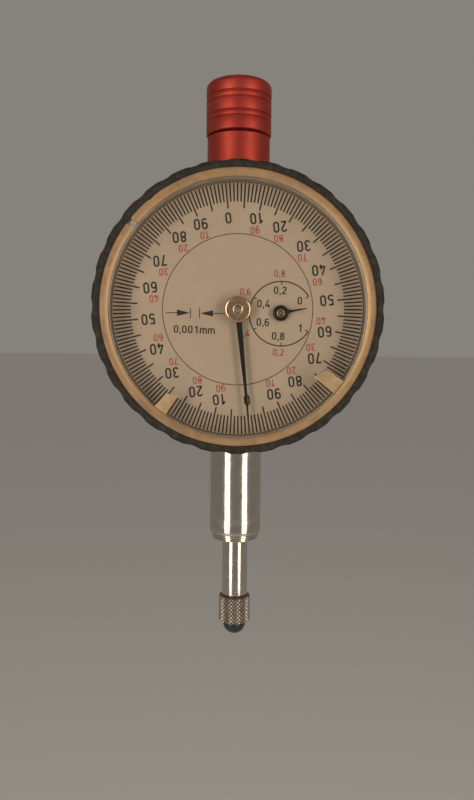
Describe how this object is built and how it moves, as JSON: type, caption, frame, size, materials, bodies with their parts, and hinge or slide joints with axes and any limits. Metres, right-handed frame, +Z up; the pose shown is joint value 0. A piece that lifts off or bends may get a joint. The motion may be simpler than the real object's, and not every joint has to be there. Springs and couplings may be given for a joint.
{
  "type": "dial indicator",
  "caption": "Small dial indicator with clamping stem, sprung plunger, knurled contact, turning bezel with tolerance markers, long hand and turn counter.",
  "frame": {"origin": "the clamping point on the stem axis, 28 mm below the dial centre and 7.35 mm above the stem's lower end", "axes": "+Z up along the plunger axis, away from the contact point; the dial faces -Y; +X is to the right of a reader"},
  "size_m": [0.0408, 0.0199, 0.0854],
  "materials": {
    "satin_metal": "satin, matt nickel look",
    "ground_steel": "ground and polished",
    "knurled_steel": "diamond knurl",
    "hard_tip": "lapped",
    "red_anodised": "red anodised, turned",
    "rubber": "matt black",
    "brass": "milled",
    "polished_brass": "polished",
    "dial_paint": "matt off-white print",
    "spring_steel": "blued wire",
    "black_paint": "satin black",
    "crystal": "clear, polished",
    "marker_brass": "satin"
  },
  "bodies": {
    "housing": {"case_ring": "satin_metal", "stem": "ground_steel", "lower_bush": "brass", "upper_bush": "ground_steel", "neck_sleeve": "red_anodised", "back_cover": "satin_metal", "gasket": "rubber", "cover_screw_1": "ground_steel", "cover_screw_2": "ground_steel", "cover_screw_3": "ground_steel", "cover_screw_4": "ground_steel", "front_plate": "brass", "rear_plate": "brass", "pillar_1": "brass", "pillar_2": "brass", "pillar_3": "brass", "pillar_4": "brass", "plate_screw_1": "ground_steel", "plate_screw_2": "ground_steel", "plate_screw_3": "ground_steel", "plate_screw_4": "ground_steel", "guide_block": "brass", "inner_dial": "dial_paint", "hairspring_stud": "brass", "hairspring": "spring_steel", "return_spring": "spring_steel"},
    "plunger": {"plunger_rod": "ground_steel", "contact_point": "knurled_steel", "contact_tip": "hard_tip", "lifting_cap": "red_anodised", "drive_pin": "ground_steel", "guide_pin": "ground_steel"},
    "long_hand": {"main_arbor": "ground_steel", "hand_boss": "polished_brass", "main_hand": "black_paint"},
    "counter": {"counter_arbor": "ground_steel", "counter_wheel": "brass", "counter_hand": "black_paint"},
    "transfer": {"transfer_arbor": "ground_steel", "transfer_wheel": "brass"},
    "sector": {"sector_arbor": "ground_steel", "sector_lever": "brass"},
    "bezel": {"bezel_ring": "satin_metal", "front_ring": "satin_metal", "grip_ring": "rubber", "crystal": "crystal", "outer_dial": "dial_paint"},
    "low_marker": {"marker_low": "marker_brass"},
    "high_marker": {"marker_high": "marker_brass"}
  },
  "joints": [
    {"name": "plunger_travel", "type": "slide", "parent": "housing", "child": "plunger", "axis": [0, 0, 1], "range_m": [0, 0.00112], "stiffness_N_per_m": 180, "springref_m": -0.006, "deforming": ["return_spring"]},
    {"name": "long_hand_turn", "type": "hinge", "parent": "housing", "child": "long_hand", "pos_m": [0, 0, 0.028], "axis": [0, 1, 0], "range_deg": [-10, 2030]},
    {"name": "counter_turn", "type": "hinge", "parent": "housing", "child": "counter", "pos_m": [0.00615, 0, 0.02755], "axis": [0, -1, 0], "range_deg": [-5, 340]},
    {"name": "transfer_turn", "type": "hinge", "parent": "housing", "child": "transfer", "pos_m": [-0.00793, 0, 0.028], "axis": [0, -1, 0], "range_deg": [-5, 260]},
    {"name": "sector_swing", "type": "hinge", "parent": "housing", "child": "sector", "pos_m": [0.00255, 0, 0.01997], "axis": [0, 1, 0], "range_deg": [-2, 27]},
    {"name": "bezel_turn", "type": "hinge", "parent": "housing", "child": "bezel", "pos_m": [0, 0, 0.028], "axis": [0, -1, 0], "continuous": true},
    {"name": "low_marker_slide", "type": "hinge", "parent": "bezel", "child": "low_marker", "pos_m": [0, 0, 0.028], "axis": [0, -1, 0], "range_deg": [-90, 40]},
    {"name": "high_marker_slide", "type": "hinge", "parent": "bezel", "child": "high_marker", "pos_m": [0, 0, 0.028], "axis": [0, -1, 0], "range_deg": [-40, 90]}
  ],
  "couplings": [
    {"joint": "long_hand_turn", "follows": "plunger_travel", "rad_per_m": 31416},
    {"joint": "counter_turn", "follows": "plunger_travel", "rad_per_m": 5236},
    {"joint": "transfer_turn", "follows": "plunger_travel", "rad_per_m": 3927},
    {"joint": "sector_swing", "follows": "plunger_travel", "rad_per_m": 392.7}
  ]
}
